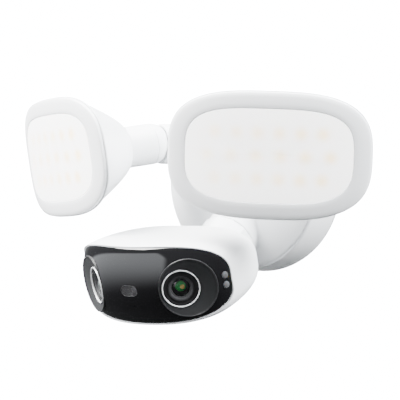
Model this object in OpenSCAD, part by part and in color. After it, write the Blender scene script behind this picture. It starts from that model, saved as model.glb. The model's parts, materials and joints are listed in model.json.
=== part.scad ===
// Wall-mounted floodlight camera: a round base, two lamp heads on ball joints
// and a twin-lens camera head on a ball joint with a lock collar.
// X is right seen from the front, -Y points away from the wall, Z is up.
// The origin is the centre of the base's back, on the wall plane.

/* [Base] */
// Radius of the base at the wall
base_r = 68; // [66:0.5:74]
// Radius of the base at the front edge of its skirt
base_front_r = 65.5; // [64:0.5:70]
// Distance from the wall to the front edge of the skirt
skirt_d = 30; // [28:1:36]
// Height of the domed front above the skirt
dome_h = 16; // [14:1:18]
// Wall thickness of the plastic mouldings
wall = 2.5; // [2:0.1:3]
// Distance between the two junction-box screw slots
box_pitch = 88.9; // [83:0.1:89]

/* [Lamps] */
// Width of a lamp face
lamp_w = 137; // [130:1:140]
// Height of a lamp face
lamp_h = 86; // [82:1:90]
// Width of the opal window
window_w = 112; // [108:1:114]
// Height of the opal window
window_h = 62.5; // [60:0.5:64]
// Depth of a lamp from the ends of its face to its neck
lamp_d = 49; // [47:0.5:52]
// How far the middle of a lamp's face stands forward of its ends
face_crown = 7.5; // [6:0.5:8]
// Distance from the ends of the lamp face back to the ball centre
lamp_reach = 71; // [70:0.5:74]
// Outward yaw of a lamp at rest
lamp_yaw = 27.5; // [24:0.5:29]
// Downward pitch of a lamp at rest
lamp_pitch = 7.6; // [4:0.1:9]
// Droop of a lamp's outer end at rest
lamp_roll = 2.6; // [0:0.1:4]
// Outward yaw of the bosses that carry the lamps
boss_yaw = 25; // [23:0.5:27]
// Rows of light-emitting diodes in a lamp
led_rows = 3; // [2:1:3]
// Diodes in each row
led_cols = 6; // [4:1:6]

/* [Camera] */
// Half width of the camera's black face
face_a = 61; // [60:0.5:61.4]
// Height of the black face above the lenses
face_up = 28.8; // [27:0.2:30]
// Depth of the black face below the lenses
face_down = 25.6; // [24:0.2:27]
// Distance from the lens centres back to the housing's rear
head_d = 82; // [80:0.5:83]
// Downward pitch of the camera at rest
head_pitch = 15; // [12:0.5:17]
// Sideways distance of each lens from the camera's middle
lens_x = 40.4; // [39.5:0.1:41]
// Outward yaw of each lens facet
lens_yaw = 33.4; // [31:0.2:35]
// Downward slope of the camera's neck
neck_slope = 35; // [32:1:38]

/* [Joints] */
// Running clearance of the ball joints
run = 0.08; // [0.04:0.01:0.09]
// Gap between pieces that move past each other
gap = 0.4; // [0.35:0.05:0.6]
// Radius of a lamp's ball
ball_r = 10; // [9.5:0.1:10.4]
// Radius of the camera's ball
cam_ball_r = 13; // [12.5:0.1:13.2]

/* [Hidden] */
$fn = 96;
cut = 1;

// Colours
white_plastic = "#f3f4f5";
black_plastic = "#17181a";
board_green = "#1f5a3a";
metal = "#b9bcc0";

// Where the moving pieces turn
lamp_ball = [56, -69, 28.5];
cam_ball = [0, -59, -49];

// Base levels, measured out from the wall
bracket_t = 2.5;
gasket_t = 2;
floor_z = 16;
dome_r = (pow(base_front_r, 2) + pow(dome_h, 2)) / (2 * dome_h);
dome_z = skirt_d + dome_h - dome_r;
cover_screw_at = [for (a = [20, 160, 235, 305]) [56 * cos(a), 56 * sin(a)]];
ear_r = 57;
side_screw_z = 9;
side_screw_seat = 64;

// Lamp profile
neck_r = 15.2;
rim_d = 4;
shell_w = 2.2;
squareness = 3;
crown_r = (pow(lamp_w / 2, 2) + pow(face_crown, 2)) / (2 * face_crown);
seat_r = 12.3;
stud_r = 4;
nut_s = 41;

// Camera profile: the face is an ellipse seen from above and bows back up and down
face_front = -14.8;
plan_a = 62.5;
plan_b = 46.8;
face_bow = 10;
face_t = 2.5;
housing_w = 2.2;
rim_w = 1;
lens_facet_r = 20.2;
barrel_shift = -4.9;
barrel_yaw = 3.5;
cam_seat_r = 15;
socket_r = 17.4;
collar_r = 21.5;
collar_s = -13;
collar_l = 19.5;
lens_mid = [0, -157, -69.3];
ball_rel = cam_ball - lens_mid;
stem_y = head_d - 9;
ball_y = ball_rel.y * cos(head_pitch) + ball_rel.z * sin(head_pitch);
ball_z = ball_rel.z * cos(head_pitch) - ball_rel.y * sin(head_pitch);

// Door for the memory card, on the underside
door_x = -6;
door_w = 24;
door_t = 1.4;
door_y = 24.3;
door_hinge_y = 35.9;
door_hinge_z = -26.9;
pocket_z = -25.8;
pad_t = 1.9;

// ---- Shared shapes ----

// A point of a rounded rectangle whose corners follow a superellipse
function corner_pow(v, n) = sign(v) * pow(abs(v), 2 / n);
function oval(a, b, n, steps) =
  [for (i = [0:steps - 1]) let (t = 360 * i / steps)
    [a * corner_pow(cos(t), n), b * corner_pow(sin(t), n)]];

module oval_2d(w, h, n = squareness, steps = 60) polygon(oval(w / 2, h / 2, n, steps));

// A solid skinned over rings of points; closed joins the last ring to the first
module skin(rings, closed = false) {
  m = len(rings[0]);
  last = len(rings) - 1;
  sides = [for (i = [0:(closed ? last : last - 1)]) for (j = [0:m - 1])
    let (k = (i + 1) % len(rings), q = (j + 1) % m)
    each [[i * m + j, k * m + j, k * m + q], [i * m + j, k * m + q, i * m + q]]];
  caps = closed ? [] : [[for (j = [m - 1:-1:0]) last * m + j], [for (j = [0:m - 1]) j]];
  polyhedron(points = [for (r = rings) each r], faces = concat(sides, caps));
}

// Turns a shape drawn along +Z so that it points away from the wall
module outward() rotate([90, 0, 0]) children();

// A plate between two depths, drawn as seen from the front
module plate(y0, y1) translate([0, y1, 0]) outward() linear_extrude(y1 - y0) children();

// A round rod between two depths
module rod(y0, y1, r, r2 = -1) translate([0, y1, 0]) outward()
  cylinder(h = y1 - y0, r1 = r2 < 0 ? r : r2, r2 = r);

module mirrored(side) if (side < 0) mirror([1, 0, 0]) children(); else children();

// ---- Base ----

module wall_bracket() color(metal) outward() {
  difference() {
    cylinder(h = bracket_t, r = 54);
    translate([0, 0, -cut]) cylinder(h = bracket_t + 2 * cut, r = 17);
    for (s = [-1, 1]) translate([s * box_pitch / 2, 0, -cut]) {
      for (e = [-1, 1]) translate([e * 3.6, 0, 0]) cylinder(h = bracket_t + 2 * cut, r = 2.4);
      translate([-3.6, -2.4, 0]) cube([7.2, 4.8, bracket_t + 2 * cut]);
    }
  }
  for (s = [-1, 1]) difference() {
    union() {
      translate([-8, s > 0 ? 50 : -ear_r, 0]) cube([16, ear_r - 50, bracket_t]);
      translate([-8, s > 0 ? ear_r - 2 : -ear_r, bracket_t]) cube([16, 2, 11]);
    }
    cylinder(h = bracket_t + cut, r = 53.9);
    translate([0, s * (ear_r + cut), side_screw_z]) rotate([s * 90, 0, 0])
      cylinder(h = 4, r = 2.05);
  }
}

module base_gasket() color("#3a3c3f") outward() difference() {
  cylinder(h = gasket_t, r = base_r - 0.5);
  translate([0, 0, -cut]) cylinder(h = gasket_t + 2 * cut, r = base_r - 6);
}

// Points local +Z inwards along a side screw, from the origin's height at radius r
module side_screw_axis(s, r) translate([0, s * r, side_screw_z]) rotate([s * 90, 0, 0]) children();

module base_body() color(white_plastic) outward() difference() {
  union() {
    rotate_extrude() {
      polygon([[base_r - wall, gasket_t], [base_r, gasket_t], [base_front_r, skirt_d],
        [base_front_r - wall, skirt_d]]);
      translate([base_r - 6, gasket_t]) square([5, 3]);
      translate([0, floor_z]) square([base_r - wall - 1, wall]);
    }
    for (s = [-1, 1]) side_screw_axis(s, base_r - wall) cylinder(h = 7, r = 5.5);
  }
  translate([0, 0, floor_z - cut]) cylinder(h = wall + 2 * cut, r = 7.5);
  for (p = cover_screw_at) translate([p.x, p.y, floor_z - cut])
    cylinder(h = wall + 2 * cut, r = 1.6);
  for (s = [-1, 1]) {
    side_screw_axis(s, base_r + cut) cylinder(h = base_r + cut - side_screw_seat, r = 3.9);
    side_screw_axis(s, side_screw_seat + cut) cylinder(h = 9, r = 2.3);
  }
}

// Everything inside the domed front's outer surface
module dome_solid(inset) intersection() {
  translate([0, 0, dome_z]) sphere(r = dome_r - inset);
  translate([0, 0, skirt_d]) cylinder(h = 30, r = base_front_r - inset);
}

module at_lamp_ball(side) mirrored(side) translate(lamp_ball) children();

// Points local +Z back from a lamp's ball along its boss
module boss_axis(side) at_lamp_ball(side) rotate([0, 0, boss_yaw]) rotate([-90, 0, 0]) children();

// Points local +Z forward along the camera's neck, from the camera's ball
module neck_axis() translate(cam_ball) rotate([90 + neck_slope, 0, 0]) children();

module base_front_cover() color(white_plastic) {
  difference() {
    union() {
      outward() dome_solid(0);
      for (side = [-1, 1]) boss_axis(side) translate([0, 0, 8.5]) cylinder(h = 31, r = 15);
      neck_axis() translate([0, 0, -38]) cylinder(h = 24.5, r = 20);
    }
    difference() {
      outward() dome_solid(wall);
      for (side = [-1, 1]) boss_axis(side) translate([0, 0, 8.5]) cylinder(h = 31, r = 15);
      neck_axis() translate([0, 0, -38]) cylinder(h = 24.5, r = 20);
      outward() for (p = cover_screw_at) translate([p.x, p.y, skirt_d - cut])
        cylinder(h = 12, r = 4);
    }
    outward() translate([0, 0, skirt_d - 40]) cylinder(h = 40, r = 80);
    for (side = [-1, 1]) {
      at_lamp_ball(side) sphere(r = neck_r + gap);
      boss_axis(side) cylinder(h = 45, r = stud_r + run);
    }
    neck_axis() {
      translate([0, 0, -22]) cylinder(h = 10, r = socket_r + gap);
      translate([0, 0, -60]) cylinder(h = 50, r = 7);
    }
    outward() for (p = cover_screw_at) translate([p.x, p.y, skirt_d - cut])
      cylinder(h = 1.8, r = 1.6);
  }
}

module cover_screws() color(metal) outward() for (p = cover_screw_at) translate([p.x, p.y, 0]) {
  translate([0, 0, floor_z - 2]) cylinder(h = 2, r = 3);
  translate([0, 0, floor_z]) cylinder(h = skirt_d - floor_z + 0.6, r = 1.5);
}

module bracket_screws() color(metal) outward() for (s = [-1, 1]) {
  side_screw_axis(s, side_screw_seat + 2) cylinder(h = 2, r = 3.6);
  side_screw_axis(s, side_screw_seat) cylinder(h = side_screw_seat - ear_r + 2.5, r = 2);
}

module cable_grommet() color("#2b2d30") outward() translate([0, 0, floor_z]) difference() {
  union() {
    translate([0, 0, -2]) cylinder(h = 2, r = 10);
    cylinder(h = wall, r = 7.5);
    translate([0, 0, wall]) cylinder(h = 1.5, r = 10);
  }
  translate([0, 0, -2 - cut]) cylinder(h = 10, r = 5);
}

module terminal_block() color("#e8e9ea") outward() translate([-14, 24, 7]) difference() {
  cube([28, 11, 9]);
  for (i = [0:2]) translate([5 + 9 * i, 5.5, -cut]) cylinder(h = 6, r = 2.4);
}

module driver_board() color(board_green) outward() difference() {
  union() {
    translate([-42, -35, 21]) cube([84, 70, 1.6]);
    for (x = [-36, 36]) for (y = [-30, 30]) translate([x, y, floor_z + wall])
      cylinder(h = 2.5, r = 3);
  }
  translate([0, 0, 20]) cylinder(h = 4, r = 12);
}

// Transformer, capacitors and relay that stand on the driver board
module driver_parts() color("#2c3138") outward() translate([0, 0, 22.6]) {
  translate([-12, 14, 0]) cube([24, 20, 13]);
  for (x = [-22, 22]) translate([x, -4, 0]) cylinder(h = 11, r = 5);
  translate([18, -32, 0]) cube([16, 12, 6]);
  translate([-34, -32, 0]) cube([14, 18, 3]);
}

// ---- Camera neck ----

module camera_socket() color(white_plastic) neck_axis() difference() {
  translate([0, 0, -22]) cylinder(h = 22, r = socket_r);
  sphere(r = cam_seat_r);
  translate([0, 0, -40]) cylinder(h = 40, r = 6);
}

module lock_collar() color(white_plastic) neck_axis() difference() {
  intersection() {
    translate([0, 0, collar_s]) cylinder(h = collar_l, r = collar_r, $fn = 12);
    translate([0, 0, collar_s]) cylinder(h = collar_l, r1 = collar_r + 4, r2 = collar_r - 1.5);
  }
  translate([0, 0, collar_s - cut]) cylinder(h = 0.3 - collar_s + cut, r = socket_r + run);
  sphere(r = cam_seat_r);
}

module camera_ball_seat() color("#d9dbdd") neck_axis() difference() {
  sphere(r = cam_seat_r - run);
  sphere(r = cam_ball_r + run);
  cylinder(h = 40, r1 = 0, r2 = 40 * tan(58));
  translate([0, 0, -40]) cylinder(h = 40, r = 7);
}

// Camera frame: origin midway between the lenses, local -Y out of the face
module camera_frame() translate(lens_mid) rotate([head_pitch, 0, 0]) children();

module camera_ball_stem() color(white_plastic) camera_frame() translate([0, 0, ball_z])
  difference() {
    union() {
      translate([0, ball_y, 0]) sphere(r = cam_ball_r);
      rod(stem_y, ball_y - 8, 6);
      rod(stem_y, stem_y + 4, 7.5);
    }
    rod(stem_y - cut, ball_y + 20, 2.5);
  }

// ---- Camera head ----

// Fullness of a section that runs from the rim at 0 to the rear at 1
function taper(t, m, q) = pow(max(1 - pow(t, m), 0), 1 / q);

// How far the face has curved back at x, for a surface set in by an offset
function plan_y(x, off = 0) =
  (plan_b - off) * (1 - sqrt(max(1 - pow(x / (plan_a - off), 2), 0)));

// One ring of the housing at t from the face to the rear, set in by a wall
function housing_ring(t, inner) =
  let (g = min(6 * t, 1), inset = inner ? rim_w - 0.1 + (housing_w - rim_w + 0.1) * g : 0,
    a = 16 + (face_a + rim_w - 16) * taper(t, 2.9, 1.55) - inset,
    up = 13 + (face_up + rim_w + 0.6 * g - 13) * taper(t, 2.4, 1.75) - inset,
    down = 13 + (face_down + rim_w + 3.6 * g - 13) * taper(t, 2.1, 1.6) - inset)
  [for (p = oval(a, 1, 3.4 - 0.5 * t, 44))
    [p.x, face_front + t * (head_d - inset - face_front)
      + pow(1 - t, 0.6) * (plan_y(p.x * face_a / a) + face_bow * p.y * p.y),
      (p.y > 0 ? up : down) * p.y - 1.2 * t]];

// One ring of the black face at a fraction of its outline
function face_ring(s, inset, off) =
  [for (p = oval(s * (face_a - inset), s, 3.4, 44))
    [p.x, face_front + off + plan_y(p.x, off) + face_bow * p.y * p.y,
      (p.y > 0 ? face_up - inset : face_down - inset) * p.y]];

housing_steps = [0, 0.06, 0.17, 0.32, 0.48, 0.64, 0.78, 0.89, 0.96, 1];
face_steps = [0.04, 0.3, 0.55, 0.78, 0.92, 1];

module camera_housing() color(white_plastic) camera_frame() difference() {
  union() {
    skin(concat([for (i = [len(housing_steps) - 1:-1:0]) housing_ring(housing_steps[i], false)],
      [for (t = housing_steps) housing_ring(t, true)]));
    translate([door_x - 3, door_y - 2.5, pocket_z - 1.2]) cube([door_w + 6, 16.5, pad_t + 1.2]);
  }
  translate([door_x - 0.3, door_y - 0.3, -40]) cube([door_w + 0.6, 13, 40 + pocket_z]);
  translate([door_x - 1.6, door_hinge_y, door_hinge_z]) rotate([0, 90, 0])
    cylinder(h = door_w + 3.2, r = 0.55);
  translate([door_x + 3, 29, pocket_z - cut]) cube([12, 1.6, 4]);
  translate([door_x + 20, 30, pocket_z - cut]) cylinder(h = 4, r = 1.9);
  for (a = [0:60:300]) translate([-22 + 4 * cos(a), 30 + 4 * sin(a), -40])
    cylinder(h = 16, r = 0.9);
  translate([-22, 30, -40]) cylinder(h = 16, r = 0.9);
  translate([0, 0, ball_z]) rod(head_d - 6, head_d + 6, 6.1);
}

module pill_2d(w, h) {
  square([w - h, h], center = true);
  for (s = [-1, 1]) translate([s * (w - h) / 2, 0]) circle(d = h);
}

// The pair of lights beyond each lens
module at_spotlights(side) for (z = [-2.8, 4]) mirrored(side)
  translate([59.4, 17.4, z]) rotate([0, 0, 62]) children();

module camera_face() color(black_plastic) camera_frame() difference() {
  skin(concat([for (s = face_steps) face_ring(s, 0, 0)],
    [for (i = [len(face_steps) - 1:-1:0]) face_ring(face_steps[i], 2.2, face_t)]));
  for (side = [-1, 1]) {
    mirrored(side) translate([lens_x, 0, 0]) rotate([0, 0, lens_yaw])
      rod(-10, 20, lens_facet_r + 0.1);
    at_spotlights(side) rod(-4, 8, 2.7);
  }
  translate([1.5, 0, 1.3]) plate(-20, 0) pill_2d(13.7, 7.8);
  translate([3, 0, -10]) rod(-20, 0, 0.6);
}

module status_window() color("#303236") camera_frame() translate([1.5, 0, 1.3])
  plate(-14.5, -12.4) pill_2d(13.5, 7.6);

module light_sensor() color(metal) camera_frame() translate([4.6, 0, 1.3]) rod(-12.4, -10, 2.6);

module spotlight_leds() color("#8b8d90") camera_frame() for (side = [-1, 1])
  at_spotlights(side) rod(-0.3, 3, 2.6);

module microphone() color(metal) camera_frame() translate([3, 0, -10]) rod(-8.6, -6.6, 2);

module speaker() color("#2b2d30") camera_frame() translate([-22, 30, -24.3])
  cylinder(h = 5, r = 8);

module antenna_boards() color(board_green) camera_frame() for (s = [-1, 1])
  translate([s * 26 - 13, 24, 22.6]) cube([26, 9, 0.6]);

board_screw_at = [for (x = [-34, 34]) for (z = [-12, 18]) [x, z]];

module main_board() color(board_green) camera_frame() difference() {
  translate([-40, 36, -16]) cube([80, 1.6, 38]);
  for (p = board_screw_at) translate([p.x, 0, p.y]) rod(35, 39, 1.4);
}

module camera_heat_sink() color(metal) camera_frame() difference() {
  union() {
    translate([-38, 37.6, -15]) cube([76, 2.6, 36]);
    for (i = [-3:3]) translate([i * 9 - 1, 40.2, -14]) cube([2, 8, 34]);
    translate([0, 0, ball_z]) rod(40.2, stem_y, 6);
  }
  for (p = board_screw_at) translate([p.x, 0, p.y]) rod(35, 44, 1.25);
  translate([0, 0, ball_z]) rod(30, head_d, 3);
}

module camera_screws() color(metal) camera_frame() for (p = board_screw_at)
  translate([p.x, 0, p.y]) {
    rod(34.2, 36, 2.2);
    rod(36, 40, 1.2);
  }

module memory_card_cover() color(white_plastic) camera_frame() difference() {
  union() {
    translate([door_x, door_y, door_hinge_z - door_t / 2])
      cube([door_w, door_hinge_y - door_y, door_t]);
    translate([door_x, door_hinge_y, door_hinge_z]) rotate([0, 90, 0])
      cylinder(h = door_w, r = door_t / 2);
    translate([door_x - 1.2, door_hinge_y, door_hinge_z]) rotate([0, 90, 0])
      cylinder(h = door_w + 2.4, r = 0.5);
  }
  translate([door_x + 8, door_y - cut, door_hinge_z - 2]) cube([8, cut + 1, 1.8]);
}

module memory_card_slot() color(metal) camera_frame() difference() {
  translate([door_x + 2.5, 28.2, pocket_z + 2.1]) cube([13, 3.2, 15]);
  translate([door_x + 3, 29, pocket_z + 2]) cube([12, 1.6, 13]);
}

module reset_button() color("#c9cbce") camera_frame() translate([door_x + 20, 30, 0]) {
  translate([0, 0, pocket_z + 0.2]) cylinder(h = 3, r = 1.5);
  translate([0, 0, pocket_z + pad_t + 0.3]) cylinder(h = 1.2, r = 2.6);
}

// ---- Lenses ----

// Lens frame: origin at the centre of the lens's facet, local -Y out of it
module lens_frame(side) camera_frame() mirrored(side) translate([lens_x, 0, 0])
  rotate([0, 0, lens_yaw]) children();

// Barrel frame: on the lens's own optical axis
module barrel_frame(side) lens_frame(side) translate([barrel_shift, 0, 0])
  rotate([0, 0, barrel_yaw]) children();

module lens_dish(side) color("#26282b") difference() {
  lens_frame(side) difference() {
    rod(-0.3, 8, lens_facet_r);
    rod(-1, 2.6, 15, lens_facet_r - 0.5);
  }
  barrel_frame(side) rod(-5, 20, 13.1);
}

module lens_ring(side) color(metal) barrel_frame(side) difference() {
  rod(0.4, 1.6, 13);
  rod(0, 2, 11.6);
}

module lens_barrel(side) color(black_plastic) barrel_frame(side) difference() {
  union() {
    rod(1.6, 6, 13);
    rod(6, 24, 10.5);
  }
  rod(1, 4, 6.3, 9);
  rod(3, 25, 6.2);
}

module lens_glass(side) color("#10161a") barrel_frame(side) {
  rod(3.4, 6, 6.1);
  intersection() {
    rod(2, 3.4, 6.1);
    translate([0, 12.4, 0]) sphere(r = 10.4);
  }
}

module sensor_board(side) color(board_green) barrel_frame(side) {
  translate([-10, 24, -10]) cube([20, 1.4, 20]);
  translate([-3.5, 22.8, -3.5]) cube([7, 1.2, 7]);
}

// ---- Lamps ----

// Lamp frame: origin midway between the ends of the face, local -Y out of the face
module lamp_frame(side) mirrored(side) translate(lamp_ball) rotate([0, 0, lamp_yaw])
  rotate([lamp_pitch, 0, 0]) rotate([0, lamp_roll, 0]) translate([0, -lamp_reach, 0]) children();

// The face is part of an upright cylinder, and so is everything behind it up to the seal
function crown(x) = crown_r - face_crown - sqrt(pow(crown_r, 2) - pow(x, 2));
module crown_cut(y) translate([0, crown_r - face_crown + y, -lamp_h])
  cylinder(h = 2 * lamp_h, r = crown_r, $fn = 360);
module crowned(y0, y1) difference() {
  intersection() {
    plate(y0 - face_crown - 1, y1 + 1) children();
    crown_cut(y0);
  }
  crown_cut(y1);
}

function lamp_ring(y, a, b, n, bend = 0) =
  [for (p = oval(a, b, n, 44)) [p.x, y + bend * crown(p.x), p.y]];
function lamp_outer(t) = let (f = pow(1 - t, 0.7))
  lamp_ring(rim_d + t * (lamp_d - rim_d), neck_r + (lamp_w / 2 - 0.5 - neck_r) * f,
    neck_r + (lamp_h / 2 - 0.5 - neck_r) * f, 3 - t, 1 - t);
function lamp_inner(t) = let (f = pow(1 - t, 0.7), r = neck_r - 3.2)
  lamp_ring(rim_d + t * (lamp_d - 2.6 - rim_d), r + (lamp_w / 2 - 0.5 - shell_w - r) * f,
    r + (lamp_h / 2 - 0.5 - shell_w - r) * f, 3 - t, 1 - t);
lamp_steps = [0, 0.1, 0.25, 0.42, 0.58, 0.73, 0.85, 0.94, 0.985, 1];

module lamp_shell(side) color(white_plastic) lamp_frame(side) skin(concat(
  [for (t = lamp_steps) lamp_outer(t)], [lamp_ring(lamp_d, 12, 12, 2)],
  [for (i = [len(lamp_steps) - 1:-1:0]) lamp_inner(lamp_steps[i])]), true);

module lamp_bezel(side) color(white_plastic) lamp_frame(side) difference() {
  union() {
    crowned(0, 1.2) oval_2d(lamp_w - 2, lamp_h - 2);
    crowned(1.2, rim_d) oval_2d(lamp_w, lamp_h);
    crowned(rim_d, 6) oval_2d(lamp_w - 10.4, lamp_h - 10.4);
  }
  plate(-face_crown - 1, 10) oval_2d(window_w, window_h, 3.4);
  crowned(3, 7) oval_2d(lamp_w - 14, lamp_h - 14);
}

module lamp_window(side) color("#fffdf8") lamp_frame(side) {
  crowned(0.3, 3.8) oval_2d(window_w - 0.6, window_h - 0.6, 3.4);
  crowned(3.8, 5.4) oval_2d(window_w + 7, window_h + 7, 3.4);
}

module window_seal(side) color("#3a3c3f") lamp_frame(side) crowned(3, 3.8) difference() {
  oval_2d(window_w + 6, window_h + 6, 3.4);
  oval_2d(window_w + 1, window_h + 1, 3.4);
}

// Diodes stand in rows; the middle row is the widest
function led_at(r, c) = [(c - (led_cols - 1) / 2) * (r == 1 ? 16.4 : 14.3),
  (r - (led_rows - 1) / 2) * 15.4];

module each_led() for (r = [0:led_rows - 1]) for (c = [0:led_cols - 1])
  let (p = led_at(r, c)) translate([p.x, 0, p.y]) children();

module reflector(side) color("#fafafa") lamp_frame(side) difference() {
  plate(7, 9.5) oval_2d(108, 62);
  each_led() rod(6, 10, 6.2, 3.6);
}

module led_board(side) color("#f4f1e6") lamp_frame(side) {
  plate(10.6, 12.2) oval_2d(106, 60);
  each_led() translate([-1.75, 9.8, -1.75]) cube([3.5, 0.8, 3.5]);
}

module lamp_heat_sink(side) color(metal) lamp_frame(side) {
  plate(12.2, 15) oval_2d(104, 58);
  for (i = [-3:3]) if (i != 0) translate([i * 9 - 1, 15, -20]) cube([2, 10, 40]);
  difference() {
    rod(15, 44, 7);
    rod(14, 45, 4.5);
  }
}

module lamp_neck(side) color(white_plastic) lamp_frame(side) difference() {
  union() {
    rod(lamp_d, lamp_reach, neck_r);
    rod(44, lamp_d, 11.9);
  }
  translate([0, lamp_reach, 0]) sphere(r = seat_r + run);
  rod(40, lamp_reach, 6);
}

module neck_cap(side) color(white_plastic) lamp_frame(side) translate([0, lamp_reach, 0])
  difference() {
    sphere(r = neck_r);
    sphere(r = seat_r + run);
    translate([-20, -20, -20]) cube([40, 20, 40]);
    rotate([-90, 0, 0]) cylinder(h = 20, r1 = 0, r2 = 20 * tan(52));
  }

module ball_seat(side) color("#d9dbdd") boss_axis(side) difference() {
  sphere(r = seat_r);
  sphere(r = ball_r + run);
  cylinder(h = 20, r1 = 0, r2 = 20 * tan(48));
  translate([0, 0, -20]) cylinder(h = 20, r = 4);
}

module ball_stud(side) color(metal) boss_axis(side) difference() {
  union() {
    sphere(r = ball_r);
    cylinder(h = nut_s + 7, r = stud_r);
    translate([0, 0, nut_s]) cylinder(h = 5, r = 8, $fn = 6);
  }
  translate([0, 0, -20]) cylinder(h = 80, r = 2);
}

wall_bracket();
base_gasket();
base_body();
base_front_cover();
cover_screws();
bracket_screws();
cable_grommet();
terminal_block();
driver_board();
driver_parts();
camera_socket();
lock_collar();
camera_ball_seat();
camera_ball_stem();
camera_housing();
camera_face();
camera_screws();
main_board();
camera_heat_sink();
antenna_boards();
speaker();
microphone();
status_window();
light_sensor();
spotlight_leds();
memory_card_cover();
memory_card_slot();
reset_button();
lens_dish(1);  // lens_dish_right
lens_ring(1);  // lens_ring_right
lens_barrel(1);  // lens_barrel_right
lens_glass(1);  // lens_glass_right
sensor_board(1);  // sensor_board_right
lens_dish(-1);  // lens_dish_left
lens_ring(-1);  // lens_ring_left
lens_barrel(-1);  // lens_barrel_left
lens_glass(-1);  // lens_glass_left
sensor_board(-1);  // sensor_board_left
lamp_shell(1);  // lamp_shell_right
lamp_bezel(1);  // lamp_bezel_right
lamp_window(1);  // lamp_window_right
window_seal(1);  // window_seal_right
reflector(1);  // reflector_right
led_board(1);  // led_board_right
lamp_heat_sink(1);  // lamp_heat_sink_right
lamp_neck(1);  // lamp_neck_right
neck_cap(1);  // neck_cap_right
ball_seat(1);  // ball_seat_right
ball_stud(1);  // ball_stud_right
lamp_shell(-1);  // lamp_shell_left
lamp_bezel(-1);  // lamp_bezel_left
lamp_window(-1);  // lamp_window_left
window_seal(-1);  // window_seal_left
reflector(-1);  // reflector_left
led_board(-1);  // led_board_left
lamp_heat_sink(-1);  // lamp_heat_sink_left
lamp_neck(-1);  // lamp_neck_left
neck_cap(-1);  // neck_cap_left
ball_seat(-1);  // ball_seat_left
ball_stud(-1);  // ball_stud_left
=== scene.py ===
"""Looks for the wall-mounted floodlight camera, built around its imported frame.

Each detailed piece is made in its CAD frame, in millimetres, with local -Y pointing
out of a face, and is then placed by that frame's matrix in metres.
"""

import json
from math import cos, pi, radians, sin, sqrt

import bmesh
import bpy
from mathutils import Matrix, Vector


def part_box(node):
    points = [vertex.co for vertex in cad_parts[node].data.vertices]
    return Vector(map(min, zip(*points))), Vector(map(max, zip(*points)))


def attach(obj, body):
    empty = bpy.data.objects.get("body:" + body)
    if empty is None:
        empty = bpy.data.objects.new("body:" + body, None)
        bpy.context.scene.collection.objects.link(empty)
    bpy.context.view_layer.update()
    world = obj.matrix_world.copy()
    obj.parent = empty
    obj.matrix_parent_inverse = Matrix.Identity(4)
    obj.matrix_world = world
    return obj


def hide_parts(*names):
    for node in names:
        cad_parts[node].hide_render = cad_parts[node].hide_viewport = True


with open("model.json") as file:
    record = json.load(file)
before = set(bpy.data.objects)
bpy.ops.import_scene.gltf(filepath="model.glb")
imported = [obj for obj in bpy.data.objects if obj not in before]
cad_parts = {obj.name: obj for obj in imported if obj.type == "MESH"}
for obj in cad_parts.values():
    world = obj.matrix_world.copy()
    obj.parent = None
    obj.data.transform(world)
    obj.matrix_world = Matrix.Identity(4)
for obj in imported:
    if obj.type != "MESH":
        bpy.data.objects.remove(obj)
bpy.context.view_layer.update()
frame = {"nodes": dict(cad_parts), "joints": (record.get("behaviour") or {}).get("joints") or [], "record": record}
MM = 0.001
joints = {j["name"]: j for j in frame["joints"]}

# ---- Sizes shared with the CAD design, in millimetres and degrees ----

# Lamps: size, aim, outline powers, walls, neck and diodes
LAMP_W, LAMP_H, LAMP_D, LAMP_REACH = 137, 86, 49, 71
WINDOW_W, WINDOW_H = 112, 62.5
LAMP_YAW, LAMP_PITCH, LAMP_ROLL, BOSS_YAW = 27.5, 7.6, 2.6, 25
LAMP_SQUARE, WINDOW_SQUARE, FACE_CROWN = 3.0, 3.4, 7.5
RIM_D, SHELL_WALL, NECK_R = 4, 2.2, 15.2
BALL_SEAT_R, CAP_OPENING = 12.38, 52
LED_ROW_STEP, LED_STEP, LED_STEP_MIDDLE, LED_SPOT_R = 15.4, 14.3, 16.4, 7.5

# Camera head: black face, housing, lenses, window, spotlights, neck, collar, underside
FACE_A, FACE_UP, FACE_DOWN, FACE_FRONT, FACE_BOW, FACE_T = 61, 28.8, 25.6, -14.8, 10, 2.5
FACE_SQUARE, PLAN_A, PLAN_B = 3.4, 62.5, 46.8
HEAD_D, HEAD_PITCH, HOUSING_WALL, RIM_W = 82, 15, 2.2, 1.0
REAR_A, REAR_H, TOP_BULGE, LOWER_BULGE = 16, 13, 0.6, 2.5
LENS_MID, LENS_X, LENS_YAW, FACET_R = (0, -157, -69.3), 40.4, 33.4, 20.2
BARREL_SHIFT, BARREL_YAW, BARREL_BORE_R, GLASS_R, GLASS_CURVE_R = -4.9, 3.5, 6.2, 6.1, 10.4
STATUS_X, STATUS_Z, SENSOR_X, MICROPHONE_X, MICROPHONE_Z = 1.5, 1.3, 4.6, 3, -10
SPOTLIGHTS, SPOTLIGHT_YAW, SPOTLIGHT_R = [(59.4, 17.4, 4.0), (59.4, 17.4, -2.8)], 62, 2.6
NECK_SLOPE, STEM_BORE_R = 35, 6.1
COLLAR_R, COLLAR_START, COLLAR_L, COLLAR_BORE = 21.5, -13, 19.5, 17.48
DOOR_X, DOOR_W, DOOR_Y, DOOR_HINGE_Y, POCKET_Z = -6, 24, 24.3, 35.9, -25.8
SPEAKER_X, SPEAKER_Y, SPEAKER_STEP, SPEAKER_HOLE_R = -22, 30, 4, 0.9

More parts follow.
